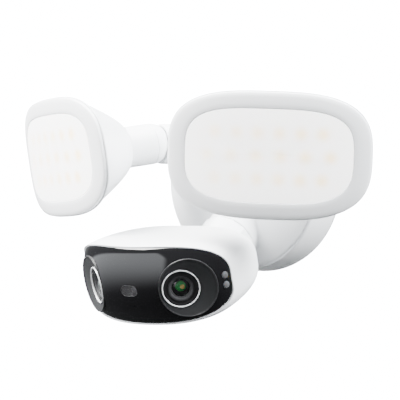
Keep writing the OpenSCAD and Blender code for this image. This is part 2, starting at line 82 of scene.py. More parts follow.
# Base: skirt and dome, floor, screws, lamp bosses, camera boss
base_low, base_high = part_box("base_body")
BASE_R = base_high.x / MM
SKIRT_D = -base_low.y / MM
BASE_FRONT_R, DOME_H, WALL = 65.5, 16, 2.5
FLOOR_FRONT, FLOOR_BACK, WIRE_BORE_R = -18.5, -16, 6.8
SCREW_Y, SCREW_BOSS_R, SCREW_HEAD_R, SCREW_R = -9, 5.5, 3.9, 2.3
BOSS_R, BOSS_BORE_R, BALL_GAP = 15, 4.1, 0.4
CAM_BOSS_R, CAM_SOCKET_R, CAM_BORE_R = 20, 17.8, 7
DOME_R = (BASE_FRONT_R ** 2 + DOME_H ** 2) / (2 * DOME_H)
lamp_ball = Vector(joints["lamp_right_tilt"]["pos_m"])
cam_ball = Vector(joints["camera_tilt"]["pos_m"])


# ---- Frames ----

def turn(axis, degrees):
    return Matrix.Rotation(radians(degrees), 4, axis)


def shift(x, y, z):
    return Matrix.Translation((x * MM, y * MM, z * MM))


def ball_at(side):
    return Matrix.Translation((side * lamp_ball.x, lamp_ball.y, lamp_ball.z))


def lamp_frame(side):
    aim = turn("Z", side * LAMP_YAW) @ turn("X", LAMP_PITCH) @ turn("Y", side * LAMP_ROLL)
    return ball_at(side) @ aim @ shift(0, -LAMP_REACH, 0)


def boss_frame(side):
    """Local +Y points back from the ball along the boss."""
    return ball_at(side) @ turn("Z", side * BOSS_YAW)


def neck_frame():
    """Local -Y points forward and down the camera's neck, from its ball."""
    return Matrix.Translation(cam_ball) @ turn("X", NECK_SLOPE)


def camera_frame():
    return shift(*LENS_MID) @ turn("X", HEAD_PITCH)


def lens_frame(side):
    return camera_frame() @ shift(side * LENS_X, 0, 0) @ turn("Z", side * LENS_YAW)


def barrel_frame(side):
    return lens_frame(side) @ shift(side * BARREL_SHIFT, 0, 0) @ turn("Z", side * BARREL_YAW)


STEM_Z = (camera_frame().inverted() @ cam_ball).z / MM


# ---- Materials ----

class Nodes:
    """Small helper that adds and joins shader nodes."""

    def __init__(self, tree):
        self.tree = tree

    def add(self, kind, **settings):
        node = self.tree.nodes.new("ShaderNode" + kind)
        for key, value in settings.items():
            setattr(node, key, value)
        return node

    def join(self, source, target):
        self.tree.links.new(source, target)

    def math(self, operation, a, b=0.0, c=0.0):
        node = self.add("Math", operation=operation)
        for socket, value in zip(node.inputs, (a, b, c)):
            if isinstance(value, (int, float)):
                socket.default_value = value
            else:
                self.join(value, socket)
        return node.outputs[0]

    def ramp(self, value, low, high, start=0.0, end=1.0, smooth=False):
        node = self.add("MapRange")
        node.interpolation_type = "SMOOTHSTEP" if smooth else "LINEAR"
        self.join(value, node.inputs["Value"])
        limits = {"From Min": low, "From Max": high, "To Min": start, "To Max": end}
        for name, number in limits.items():
            node.inputs[name].default_value = number
        return node.outputs["Result"]

    def mix(self, factor, a, b):
        node = self.add("Mix", data_type="RGBA")
        self.join(factor, node.inputs["Factor"])
        for socket, value in ((node.inputs[6], a), (node.inputs[7], b)):
            if isinstance(value, tuple):
                socket.default_value = (*value, 1)
            else:
                self.join(value, socket)
        return node.outputs[2]

    def noise(self, coords, scale, detail=2.0):
        node = self.add("TexNoise")
        node.inputs["Scale"].default_value = scale
        node.inputs["Detail"].default_value = detail
        self.join(coords, node.inputs["Vector"])
        return node.outputs["Fac"]


def surface(name, color, roughness, grain=1800.0, mottle=0.03, bump=0.05, spread=0.06, **sockets):
    """A principled material with mottled colour, uneven gloss and a fine moulded grain."""
    mat = bpy.data.materials.new(name)
    mat.use_nodes = True
    n = Nodes(mat.node_tree)
    shader = mat.node_tree.nodes["Principled BSDF"]
    for key, value in sockets.items():
        shader.inputs[key.replace("_", " ")].default_value = value
    coords = n.add("TexCoord").outputs["Object"]
    cloud = n.noise(coords, 35.0, 3.0)
    fine = n.noise(coords, grain, 2.0)
    darker = tuple(c * (1 - mottle) for c in color)
    n.join(n.mix(n.ramp(cloud, 0.35, 0.65), darker, color), shader.inputs["Base Color"])
    gloss = n.ramp(fine, 0.3, 0.7, roughness - spread, roughness + spread)
    n.join(gloss, shader.inputs["Roughness"])
    relief = n.add("Bump")
    relief.inputs["Strength"].default_value = bump
    relief.inputs["Distance"].default_value = 0.0001
    n.join(fine, relief.inputs["Height"])
    n.join(relief.outputs["Normal"], shader.inputs["Normal"])
    return mat


def opal_window():
    """Frosted window: the diodes behind it show as soft warm spots in three rows of six, painted fainter toward
    one end, and the whole window has a faint painted glow that makes it brighter than the bezel.
    """
    warm, clear = (1.0, 0.68, 0.25), (0.95, 0.945, 0.935)
    # Emission_Strength gives the whole window a painted glow, with no lamp lit behind it.
    mat = surface("opal_window", clear, 0.5, grain=1400.0, bump=0.04,
                  Subsurface_Weight=0.15, Subsurface_Scale=0.004, Emission_Strength=2.2)
    n = Nodes(mat.node_tree)
    shader = mat.node_tree.nodes["Principled BSDF"]
    split = n.add("SeparateXYZ")
    n.join(n.add("Attribute", attribute_name="own_place").outputs["Vector"], split.inputs[0])
    x, z = split.outputs["X"], split.outputs["Z"]
    row = n.math("ROUND", n.math("DIVIDE", z, LED_ROW_STEP * MM))
    row = n.math("MAXIMUM", n.math("MINIMUM", row, 1.0), -1.0)
    outer = n.math("ABSOLUTE", row)
    step = n.math("MULTIPLY_ADD", outer, (LED_STEP - LED_STEP_MIDDLE) * MM, LED_STEP_MIDDLE * MM)
    cell = n.math("ADD", n.math("FLOOR", n.math("DIVIDE", x, step)), 0.5)
    cell = n.math("MAXIMUM", n.math("MINIMUM", cell, 2.5), -2.5)
    dx = n.math("SUBTRACT", x, n.math("MULTIPLY", cell, step))
    dz = n.math("SUBTRACT", z, n.math("MULTIPLY", row, LED_ROW_STEP * MM))
    away = n.math("SQRT", n.math("ADD", n.math("MULTIPLY", dx, dx), n.math("MULTIPLY", dz, dz)))
    half = 55 * MM
    spot = n.ramp(away, 0.0, LED_SPOT_R * MM, 0.75, 0.0, smooth=True)
    # Painted shade: the spots are painted fainter toward one end of the window, as the light falls across the
    # lamp's face.
    spot = n.math("MULTIPLY", spot, n.ramp(x, -half, half, 0.35, 0.9))
    color = n.mix(spot, clear, warm)
    n.join(color, shader.inputs["Base Color"])
    # The same colour is emitted: a painted glow over the window and its spots.
    n.join(color, shader.inputs["Emission Color"])
    return mat


def make_materials():
    white = (0.80, 0.815, 0.83)
    return {
        "white_plastic": surface("white_plastic", white, 0.40, mottle=0.012, bump=0.06),
        "lamp_metal": surface("lamp_metal", white, 0.36, grain=900.0, mottle=0.015, bump=0.10),
        "opal_window": opal_window(),
        "gloss_black": surface("gloss_black", (0.004, 0.004, 0.0045), 0.04, grain=500.0,
                               bump=0.004, spread=0.015),
        "satin_black": surface("satin_black", (0.022, 0.023, 0.025), 0.38, grain=2600.0,
                               mottle=0.2, bump=0.25),
        "dish_black": surface("dish_black", (0.022, 0.0225, 0.0235), 0.36, grain=2600.0,
                              mottle=0.15, bump=0.25, Specular_IOR_Level=0.2),
        "barrel_black": surface("barrel_black", (0.010, 0.010, 0.0105), 0.5, grain=2000.0, bump=0.1,
                                Specular_IOR_Level=0.15),
        "barrel_grey": surface("barrel_grey", (0.030, 0.0305, 0.032), 0.42, grain=2000.0, bump=0.1,
                               Specular_IOR_Level=0.2),
        "bright_ring": surface("bright_ring", (0.78, 0.79, 0.80), 0.25, grain=3000.0, bump=0.05,
                               Metallic=0.25),
        "lens_glass": surface("lens_glass", (0.90, 1.0, 0.94), 0.02, grain=200.0, bump=0.0,
                              spread=0.005, Transmission_Weight=1.0, IOR=1.52),
        # Painted highlights: the bright green and amber base colours stand in for the glints that the coated lens
        # elements reflect; the specular tints are the coatings' own colour of reflection.
        "green_coat_painted_glint": surface("green_coat_painted_glint", (0.06, 0.42, 0.12), 0.08, grain=300.0, bump=0.0,
                                 spread=0.02, IOR=1.9, Specular_Tint=(0.25, 1.0, 0.35, 1)),
        "amber_coat_painted_glint": surface("amber_coat_painted_glint", (0.75, 0.52, 0.20), 0.08, grain=300.0, bump=0.0,
                                 spread=0.02, IOR=2.0, Specular_Tint=(1.0, 0.75, 0.3, 1)),
        "smoked_window": surface("smoked_window", (0.22, 0.22, 0.23), 0.04, grain=300.0, bump=0.0,
                                 spread=0.01, Transmission_Weight=0.9, IOR=1.3),
        "sensor_lens": surface("sensor_lens", (0.80, 0.80, 0.81), 0.12, grain=800.0, mottle=0.2,
                               bump=0.02, Coat_Weight=0.5),
        "spotlight_lens": surface("spotlight_lens", (0.09, 0.09, 0.094), 0.22, grain=900.0,
                                  mottle=0.25, bump=0.05, Coat_Weight=0.4,
                                  Subsurface_Weight=0.1, Subsurface_Scale=0.002),
        "grey_plastic": surface("grey_plastic", (0.45, 0.46, 0.47), 0.45),
        "rubber_seal": surface("rubber_seal", (0.025, 0.025, 0.027), 0.7, grain=1200.0, bump=0.2),
        "nylon": surface("nylon", (0.62, 0.63, 0.64), 0.5,
                         Subsurface_Weight=0.1, Subsurface_Scale=0.003),
        "steel": surface("steel", (0.56, 0.57, 0.58), 0.34, grain=1500.0, mottle=0.1, bump=0.1,
                         Metallic=1.0),
        "aluminium": surface("aluminium", (0.66, 0.67, 0.68), 0.38, grain=1000.0, mottle=0.06,
                             bump=0.1, Metallic=1.0),
        "circuit_board": surface("circuit_board", (0.012, 0.09, 0.04), 0.3, grain=700.0,
                                 mottle=0.3),
        "led_board": surface("led_board", (0.82, 0.79, 0.66), 0.4, grain=900.0),
        "reflector_white": surface("reflector_white", (0.86, 0.86, 0.85), 0.2, grain=900.0),
        "component_black": surface("component_black", (0.02, 0.021, 0.024), 0.45, mottle=0.15),
        "terminal_plastic": surface("terminal_plastic", (0.62, 0.62, 0.59), 0.45),
    }


materials = make_materials()


# ---- Mesh building ----

def loft(rings, cyclic=False, caps=True):
    """Vertices and faces of a skin over rings of equal length."""
    m, count = len(rings[0]), len(rings)
    verts = [p for ring in rings for p in ring]
    faces = []
    for i in range(count if cyclic else count - 1):
        k = (i + 1) % count
        for j in range(m):
            q = (j + 1) % m
            faces.append((i * m + j, i * m + q, k * m + q, k * m + j))
    if caps and not cyclic:
        faces.append(tuple(range(m)))
        faces.append(tuple((count - 1) * m + j for j in reversed(range(m))))
    return verts, faces


def circle(r, y, steps=96, x=0.0, z=0.0):
    angles = [2 * pi * j / steps for j in range(steps)]
    return [(x + r * cos(a), y, z + r * sin(a)) for a in angles]


def revolved(profile, steps=96, cyclic=True):
    """A profile of (radius, depth) points turned about the local Y axis."""
    return loft([circle(r, y, steps) for r, y in profile], cyclic)


def arc(cx, cy, r, start, end, steps=6):
    """Points of a profile arc, in degrees."""
    angles = [radians(start + (end - start) * i / steps) for i in range(steps + 1)]
    return [(cx + r * cos(a), cy + r * sin(a)) for a in angles]


def oval(a, up, down, power, y, steps=160):
    """A superellipse ring whose upper and lower halves have their own heights."""
    ring = []
    for j in range(steps):
        c, s = cos(2 * pi * j / steps), sin(2 * pi * j / steps)
        h = up if s > 0 else down
        r = ((abs(c) / a) ** power + (abs(s) / h) ** power) ** (-1 / power)
        ring.append((r * c, y, r * s))
    return ring


def solid(name, shape, matrix, sharp=35):
    """An object in the row frame from millimetre vertices and faces in a piece's own frame."""
    verts, faces = shape
    mesh = bpy.data.meshes.new(name)
    mesh.from_pydata([matrix @ (Vector(p) * MM) for p in verts], [], faces)
    bm = bmesh.new()
    bm.from_mesh(mesh)
    bmesh.ops.remove_doubles(bm, verts=bm.verts, dist=1e-7)
    bmesh.ops.recalc_face_normals(bm, faces=bm.faces)
    bm.to_mesh(mesh)
    bm.free()
    obj = bpy.data.objects.new(name, mesh)
    bpy.context.scene.collection.objects.link(obj)
    smooth(obj, sharp)
    return obj


def own_places(obj, matrix):
    """Stores each vertex's place in the piece's own frame, for its material."""
    back = matrix.inverted()
    layer = obj.data.attributes.new("own_place", "FLOAT_VECTOR", "POINT")
    for vertex, item in zip(obj.data.vertices, layer.data):
        item.vector = back @ vertex.co


def smooth(obj, sharp=35):
    obj.data.shade_smooth()
    obj.data.set_sharp_from_angle(angle=radians(sharp))


def settle(obj):
    """Applies the object's modifiers to its mesh."""
    graph = bpy.context.evaluated_depsgraph_get()
    mesh = bpy.data.meshes.new_from_object(obj.evaluated_get(graph))
    old = obj.data
    obj.modifiers.clear()
    obj.data = mesh
    bpy.data.meshes.remove(old)
    return obj


def cut(obj, *tools, operation="DIFFERENCE"):
    """Cuts solids out of a piece, one after another, and removes them."""
    for tool in tools:
        mod = obj.modifiers.new("cut", "BOOLEAN")
        mod.operation = operation
        mod.solver = "EXACT"
        mod.object = tool
        settle(obj)
        bpy.data.objects.remove(tool)
    return obj


def finish(obj, body, slot, *nodes, look=None):
    """Gives a piece its material and its body, and hides the CAD nodes that it stands for."""
    obj.data.materials.clear()
    obj.data.materials.append(materials[look or slot])
    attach(obj, body)
    if nodes:
        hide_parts(*nodes)
    return obj


def rod(y0, y1, r, steps=64, x=0.0, z=0.0):
    """A cylinder along local Y."""
    return loft([circle(r, y0, steps, x, z), circle(r, y1, steps, x, z)])


def box_shape(x0, x1, y0, y1, z0, z1):
    return loft([[(x0, y, z0), (x1, y, z0), (x1, y, z1), (x0, y, z1)] for y in (y0, y1)])


def joined(*shapes):
    """Several disjoint shapes as one."""
    verts, faces = [], []
    for v, f in shapes:
        faces += [tuple(len(verts) + i for i in face) for face in f]
        verts += v
    return verts, faces


def moved(shape, matrix):
    """A shape carried by a matrix, both in millimetres."""
    return [tuple(matrix @ Vector(p)) for p in shape[0]], shape[1]


def in_mm(matrix):
    """The same rigid frame with its translation in millimetres."""
    result = matrix.copy()
    result.translation = matrix.translation / MM
    return result


# ---- Lamps ----

CROWN_R = ((LAMP_W / 2) ** 2 + FACE_CROWN ** 2) / (2 * FACE_CROWN)


def crowned(ring, bend=1.0):
    """A ring bent like the lamp's face, whose middle stands forward of its ends."""
    middle = CROWN_R - FACE_CROWN
    return [(x, y + bend * (middle - sqrt(CROWN_R ** 2 - x * x)), z) for x, y, z in ring]


def lamp_shell_rings(inner, count):
    """Rings from the rim back to the neck; fullness falls evenly so the tip stays round."""
    wall = SHELL_WALL if inner else 0
    tip = NECK_R - (3.2 if inner else 0)
    depth = LAMP_D - (2.6 if inner else 0) - RIM_D
    rings = []
    for i in range(count + 1):
        f = 1 - i / count
        t = 1 - f ** (1 / 0.7)
        a = tip + (LAMP_W / 2 - 0.5 - wall - tip) * f
        b = tip + (LAMP_H / 2 - 0.5 - wall - tip) * f
        rings.append(crowned(oval(a, b, b, LAMP_SQUARE - t, RIM_D + t * depth), 1 - t))
    return rings


def lamp_oval(inset, y):
    """The lamp's outline, moved in by the inset."""
    half_h = LAMP_H / 2 - inset
    return crowned(oval(LAMP_W / 2 - inset, half_h, half_h, LAMP_SQUARE, y))


def window_oval(grow, y, power=WINDOW_SQUARE):
    """The window's outline, moved out by grow."""
    half_h = WINDOW_H / 2 + grow
    return crowned(oval(WINDOW_W / 2 + grow, half_h, half_h, power, y))


def lamp_bezel_shape():
    """Crowned front that rolls off to a crisp edge and a narrow side band."""
    inner = [window_oval(0, 3.0), window_oval(0, 0.55)]
    inner += [window_oval(0.7 - 0.7 * cos(a), 0.55 - 0.5 * sin(a)) for a in (0.5, 1.0, pi / 2)]
    slope = [window_oval(*ring) for ring in ((3.5, 0.1, 3.3), (8, 0.6, 3.1), (10.2, 1.0, 3.05))]
    edge = [lamp_oval(*ring) for ring in ((1.0, 1.35), (0.75, 1.55), (0.65, 1.9), (0.6, 3.5))]
    back = [lamp_oval(*ring) for ring in ((0.9, 3.65), (5.2, 3.65), (5.2, 6.0), (7, 6.0), (7, 3.0))]
    return loft(inner + slope + edge + back, cyclic=True)


def lamp_window_shape():
    """A slightly crowned front, with the flange that the bezel holds."""
    crown = [window_oval(-0.35 - (WINDOW_H / 2 - 1) * (1 - s), -0.25 + 0.45 * s ** 4,
                         WINDOW_SQUARE - 0.6 * (1 - s))
             for s in (0.05, 0.3, 0.55, 0.8, 0.95, 1.0)]
    edge = [window_oval(*ring) for ring in ((-0.2, 0.7), (-0.2, 3.8), (3.5, 3.8), (3.5, 5.4))]
    return loft(crown + edge)


def seat_arc(side, end, steps, count):
    """Profile of the ball's seat from its middle, forward at side -1 and back at side 1."""
    angles = [end * i / steps for i in range(count)]
    return [(BALL_SEAT_R * cos(a), LAMP_REACH + side * BALL_SEAT_R * sin(a)) for a in angles]


def make_lamp(side, name):
    place, body = lamp_frame(side), "lamp_" + name
    bead = [lamp_oval(*ring) for ring in ((0.5, 3.75), (0.15, 3.8), (0, 4.0), (0, 4.6), (0.2, 4.9))]
    outer, inner = lamp_shell_rings(False, 40)[1:], lamp_shell_rings(True, 12)
    lip = [circle(14.6, LAMP_D, 160), circle(12, LAMP_D, 160)]
    shell = solid("lamp_shell_" + name, loft(bead + outer + lip + inner[::-1], cyclic=True), place)
    finish(shell, body, "lamp_metal", "lamp_shell_" + name)
    bezel = solid("lamp_bezel_" + name, lamp_bezel_shape(), place)
    finish(bezel, body, "white_plastic", "lamp_bezel_" + name)
    window = solid("lamp_window_" + name, lamp_window_shape(), place)
    own_places(window, place)
    finish(window, body, "opal_window", "lamp_window_" + name)
    wire_bore_r, groove_r = 6, NECK_R - 0.3
    neck = solid("lamp_neck_" + name, revolved(
        [(wire_bore_r, 45), (11.9, 45), (11.9, LAMP_D + 0.1), (14.7, LAMP_D + 0.1),
         (NECK_R, LAMP_D + 0.6), (NECK_R, LAMP_REACH - 0.45), (groove_r, LAMP_REACH - 0.15),
         (groove_r, LAMP_REACH)] + seat_arc(-1, pi / 2, 12, 9)
        + [(wire_bore_r, LAMP_REACH - 10.8)]), place)
    finish(neck, body, "lamp_metal", "lamp_neck_" + name)
    outside = arc(0, LAMP_REACH, NECK_R, 2, 90 - CAP_OPENING, 14)
    inside = seat_arc(1, radians(90 - CAP_OPENING), 12, 13)
    cap = solid("neck_cap_" + name, revolved(
        [(groove_r, LAMP_REACH), (groove_r, LAMP_REACH + 0.15)] + outside + inside[::-1]), place)
    finish(cap, body, "lamp_metal", "neck_cap_" + name)


for lamp_side, lamp_name in ((1, "right"), (-1, "left")):
    make_lamp(lamp_side, lamp_name)


# ---- Base ----

def make_base_body():
    """Skirt and back floor in one, with a screw boss at the top and the bottom."""
    slope = (BASE_R - BASE_FRONT_R) / (SKIRT_D - 2)
    edge = 0.8
    outside = [(BASE_R, -2.2), (BASE_FRONT_R + slope * edge, -(SKIRT_D - edge))]
    lip = arc(BASE_FRONT_R - edge, -(SKIRT_D - edge), edge, 0, -90)
    inside = [(BASE_FRONT_R - WALL, -SKIRT_D), (BASE_R - WALL - 0.8, FLOOR_FRONT),
              (WIRE_BORE_R, FLOOR_FRONT), (WIRE_BORE_R, FLOOR_BACK),
              (BASE_R - WALL - 0.4, FLOOR_BACK), (BASE_R - WALL, -5), (BASE_R - 6, -5),
              (BASE_R - 6, -2)]
    body = solid("base_body", revolved([(BASE_R - 0.3, -2)] + outside + lip + inside, 192),
                 Matrix.Identity(4))

    def screw_rods(half, r, z):
        return [solid("tool", rod(-half, half, r), shift(0, SCREW_Y, s * z) @ turn("X", 90))
                for s in (1, -1)]

    cut(body, *screw_rods(5.5, SCREW_BOSS_R, 61.5), operation="UNION")
    cut(body, *screw_rods(3, SCREW_HEAD_R, 67), *screw_rods(6, SCREW_R, 60))
    smooth(body)
    finish(body, "base", "white_plastic", "base_body")


def dome_shape(inset, back):
    """The domed front as a solid, down to a given depth behind the skirt's edge."""
    r, span = DOME_R - inset, BASE_FRONT_R - inset
    centre = SKIRT_D + DOME_H - DOME_R
    profile = [(span, -(SKIRT_D - back))]
    for i in range(25):
        x = span * (1 - i / 24)
        profile.append((x, -(centre + sqrt(r * r - x * x))))
    return revolved(profile + [(0, -(SKIRT_D - back))], 128)


def make_front_cover():
    """Dome and bosses melted together so that the bosses meet the dome in soft fillets."""
    cover = solid("base_front_cover", dome_shape(0, 0), Matrix.Identity(4))
    bosses = [solid("tool", rod(8.5, 39.5, BOSS_R, 96), boss_frame(side)) for side in (1, -1)]
    neck = solid("tool", rod(13.5, 38, CAM_BOSS_R, 96), neck_frame())
    cut(cover, *bosses, neck, operation="UNION")
    trim = solid("tool", box_shape(-90, 90, -SKIRT_D, 20, -90, 90), Matrix.Identity(4))
    cut(cover, trim)
    melt = cover.modifiers.new("melt", "REMESH")
    melt.mode = "VOXEL"
    melt.voxel_size = 0.0009
    soften = cover.modifiers.new("soften", "SMOOTH")
    soften.factor = 0.5
    soften.iterations = 8
    settle(cover)
    hollow = solid("tool", dome_shape(WALL, -1), Matrix.Identity(4))
    cups = [solid("tool", ball_shape(NECK_R + BALL_GAP), ball_at(side)) for side in (1, -1)]
    bores = [solid("tool", rod(0, 45, BOSS_BORE_R), boss_frame(side)) for side in (1, -1)]
    socket = solid("tool", rod(12, 22, CAM_SOCKET_R, 96), neck_frame())
    wires = solid("tool", rod(10, 60, CAM_BORE_R), neck_frame())
    cut(cover, hollow, *cups, *bores, socket, wires)
    smooth(cover, 40)
    finish(cover, "base", "white_plastic", "base_front_cover")


def ball_shape(r, steps=96, rows=48):
    """A closed ball of rings."""
    angles = [pi * i / rows for i in range(rows + 1)]
    return loft([circle(r * sin(a), -r * cos(a), steps) for a in angles], caps=False)


def make_collar():
    """Twelve-sided nut with softened edges."""
    flats, end, chamfer = 12, COLLAR_START + COLLAR_L, 1.5
    outline = [(COLLAR_R - 0.9, -COLLAR_START), (COLLAR_R, -COLLAR_START - 1.2),
               (COLLAR_R, -end + 4.5), (COLLAR_R - chamfer - 0.4, -end)]
    rings = [circle(r, y, flats) for r, y in outline]
    collar = solid("lock_collar", loft(rings), neck_frame(), sharp=20)
    bevel = collar.modifiers.new("edges", "BEVEL")
    bevel.width = 0.0006
    bevel.segments = 3
    settle(collar)
    tools = [solid("tool", rod(-0.3, -COLLAR_START + 2, COLLAR_BORE, 96), neck_frame()),
             solid("tool", ball_shape(15), neck_frame())]
    cut(collar, *tools)
    smooth(collar, 30)
    finish(collar, "collar", "white_plastic", "lock_collar")


make_base_body()
make_front_cover()
make_collar()


# ---- Camera head ----

def plan_y(x, off=0.0):
    """How far the face has curved back at x."""
    return (PLAN_B - off) * (1 - sqrt(max(1 - (x / (PLAN_A - off)) ** 2, 0)))


def taper(t, m, q):
    """Falls from 1 at the face to 0 at the rear, slowly first and then steeply."""
    return max(1 - t ** m, 0) ** (1 / q)


def housing_ring(t, inset):
    """One section of the housing at t from the face to the rear."""
    g = sin(pi / 2 * min(6 * t, 1))
    a = REAR_A + (FACE_A + RIM_W - REAR_A) * taper(t, 2.9, 1.55) - inset
    up = REAR_H + (FACE_UP + RIM_W + TOP_BULGE * g - REAR_H) * taper(t, 2.4, 1.75) - inset
    down = REAR_H + (FACE_DOWN + RIM_W + LOWER_BULGE * g - REAR_H) * taper(t, 2.1, 1.6) - inset
    ring = []
    for x, _, z in oval(a, up, down, FACE_SQUARE - 0.5 * t, 0):
        rise = z / (up if z > 0 else down)
        curl = (1 - t) ** 0.6 * (plan_y(x * FACE_A / a) + FACE_BOW * rise * rise)
        ring.append((x, FACE_FRONT + t * (HEAD_D - inset - FACE_FRONT) + curl, z - 1.2 * t))
    return ring


def make_housing():
    """White housing with the memory-card pocket, the speaker's holes and the pocket's pad."""
    count = 44
    steps = [1 - (1 - i / count) ** 1.9 for i in range(count + 1)]
    outer = [housing_ring(t, 0) for t in steps]
    inner = [housing_ring(t, HOUSING_WALL) for t in steps[::4]]
    edge = [housing_ring(0.004, 0.9), housing_ring(0, 0.75), housing_ring(0, 0.3)]
    rear = [circle(r, y, 160, z=STEM_Z) for r, y in
            ((7.2, HEAD_D), (STEM_BORE_R, HEAD_D - 0.6), (STEM_BORE_R, HEAD_D - HOUSING_WALL))]
    shape = loft(edge + outer[1:] + rear + inner[::-1], cyclic=True)
    housing = solid("camera_housing", shape, camera_frame())
    pocket = solid("tool", box_shape(DOOR_X - 0.3, DOOR_X + DOOR_W + 0.3, DOOR_Y - 0.3,
                                     DOOR_HINGE_Y + 1.1, -40, POCKET_Z), camera_frame())
    centres = [(0, 0)] + [(SPEAKER_STEP * cos(pi / 3 * k), SPEAKER_STEP * sin(pi / 3 * k))
                          for k in range(6)]
    holes = joined(*[rod(-10, 10, SPEAKER_HOLE_R, 24, x, y) for x, y in centres])
    speaker = solid("tool", holes,
                    camera_frame() @ shift(SPEAKER_X, SPEAKER_Y, -30) @ turn("X", 90))
    cut(housing, pocket, speaker)
    smooth(housing, 40)
    finish(housing, "camera", "white_plastic", "camera_housing")
    pad = solid("card_pocket", box_shape(DOOR_X - 3, DOOR_X + DOOR_W + 3, DOOR_Y - 2.5,
                                         DOOR_Y + 14, POCKET_Z + 0.02, POCKET_Z + 1.9),
                camera_frame())
    card_slot = box_shape(DOOR_X + 3, DOOR_X + 15, 29, 30.6, -30, -20)
    button_frame = camera_frame() @ shift(DOOR_X + 20, 30, POCKET_Z) @ turn("X", 90)
    cut(pad, solid("tool", card_slot, camera_frame()), solid("tool", rod(-5, 5, 1.9), button_frame))
    finish(pad, "camera", "white_plastic")


def face_ring(s, inset, off):
    """One ring of the black face at a fraction of its outline."""
    ring = []
    up, down = (FACE_UP - inset) * s, (FACE_DOWN - inset) * s
    for x, _, z in oval((FACE_A - inset) * s, up, down, FACE_SQUARE, 0, 224):
        rise = s * z / (up if z > 0 else down)
        ring.append((x, FACE_FRONT + 0.1 + off + plan_y(x, off) + FACE_BOW * rise * rise, z))
    return ring


def pill_ring(w, h, y, steps=64):
    """The outline of a slot with round ends."""
    ring = []
    for j in range(steps):
        a = 2 * pi * (j + 0.5) / steps
        ring.append(((w - h) / 2 * (1 if cos(a) > 0 else -1) + h / 2 * cos(a), y, h / 2 * sin(a)))
    return ring


def spotlight_frame(side, place):
    x, y, z = place
    return camera_frame() @ shift(side * x, y, z) @ turn("Z", side * SPOTLIGHT_YAW)


def status_frame():
    return camera_frame() @ shift(STATUS_X, 0, STATUS_Z)


def make_face():
    """Black face with a softened edge and its openings for lenses, lights and window."""
    count = 54
    parts = [i / count for i in range(count + 1)]
    outer = [face_ring(0.03 + 0.97 * s, 0.35 * s ** 30, 0.25 * s ** 40) for s in parts]
    edge = [face_ring(1, 0.05, 0.7), face_ring(1, 0.05, 1.8), face_ring(1, 2.2, FACE_T)]
    inner = [face_ring(0.03 + 0.97 * s, 2.2, FACE_T) for s in (0.9, 0.6, 0.3, 0.0)]
    face = solid("camera_face", loft(outer + edge + inner, cyclic=True), camera_frame())
    lenses = [solid("tool", rod(-12, 20, FACET_R + 0.1, 192), lens_frame(side))
              for side in (1, -1)]
    lights = [solid("tool", rod(-4, 8, SPOTLIGHT_R + 0.15), spotlight_frame(side, place))
              for side in (1, -1) for place in SPOTLIGHTS]
    pill = solid("tool", loft([pill_ring(13.7, 7.8, y) for y in (-20, 0)]), status_frame())
    pinhole = solid("tool", rod(-20, 0, 0.6, 24),
                    camera_frame() @ shift(MICROPHONE_X, 0, MICROPHONE_Z))
    cut(face, *lenses, *lights, pill, pinhole)
    smooth(face, 30)
    finish(face, "camera", "gloss_black", "camera_face")


def dome_cap(r, front, rise, back, rows=8):
    """A disc with a domed front, from its apex to its back."""
    angles = [pi / 2 * i / rows for i in range(rows + 1)]
    curve = [(r * sin(a), front + rise * (1 - cos(a))) for a in angles]
    return revolved(curve + [(r, back), (0, back)], 64, cyclic=False)


def make_face_details():
    """Status window with its rim, the light sensor behind it and the spotlights."""
    pane = [pill_ring(12.7, 6.8, -14.45), pill_ring(13.3, 7.4, -14.2), pill_ring(13.5, 7.6, -12.4)]
    window = solid("status_window", loft(pane), status_frame())
    finish(window, "camera", "smoked_window", "status_window")
    rim = [pill_ring(w, w - 5.9, y) for w, y in
           ((13.6, -14.3), (13.55, -14.55), (13.1, -14.55), (12.9, -14.3))]
    frame_line = solid("status_window_rim", loft(rim, cyclic=True), status_frame())
    finish(frame_line, "camera", "smoked_window", look="barrel_grey")
    sensor = solid("light_sensor", dome_cap(2.6, -12.35, 1.2, -10),
                   camera_frame() @ shift(SENSOR_X, 0, STATUS_Z))
    finish(sensor, "camera", "sensor_lens", "light_sensor")
    domes = []
    for side in (1, -1):
        for place in SPOTLIGHTS:
            local = in_mm(camera_frame().inverted() @ spotlight_frame(side, place))
            domes.append(moved(dome_cap(SPOTLIGHT_R, -0.3, 1.0, 3), local))
    lights = solid("spotlight_leds", joined(*domes), camera_frame())
    finish(lights, "camera", "spotlight_lens", "spotlight_leds")


def dish_rings(side):
    """Rim, then a cone that closes in off-centre on the barrel's bright ring."""
    to_lens = in_mm(lens_frame(side).inverted() @ barrel_frame(side))
    rim = [(FACET_R, 7), (FACET_R, 0.1), (FACET_R - 0.12, -0.2), (FACET_R - 0.4, -0.3),
           (FACET_R - 0.7, -0.22), (FACET_R - 0.85, 0.05)]
    rings = [circle(r, y, 160) for r, y in rim]
    start = circle(FACET_R - 0.95, 0.15, 160)
    end = [tuple(to_lens @ Vector(p)) for p in circle(13.55, 0.9, 160)]
    for i in range(9):
        k = i / 8
        rings.append([tuple(Vector(p).lerp(Vector(q), k)) for p, q in zip(start, end)])
    for r, y in ((13.3, 1.2), (13.12, 1.7), (13.12, 6.5)):
        rings.append([tuple(to_lens @ Vector(p)) for p in circle(r, y, 160)])
    rings.append(circle(FACET_R, 7.0, 160))
    return rings


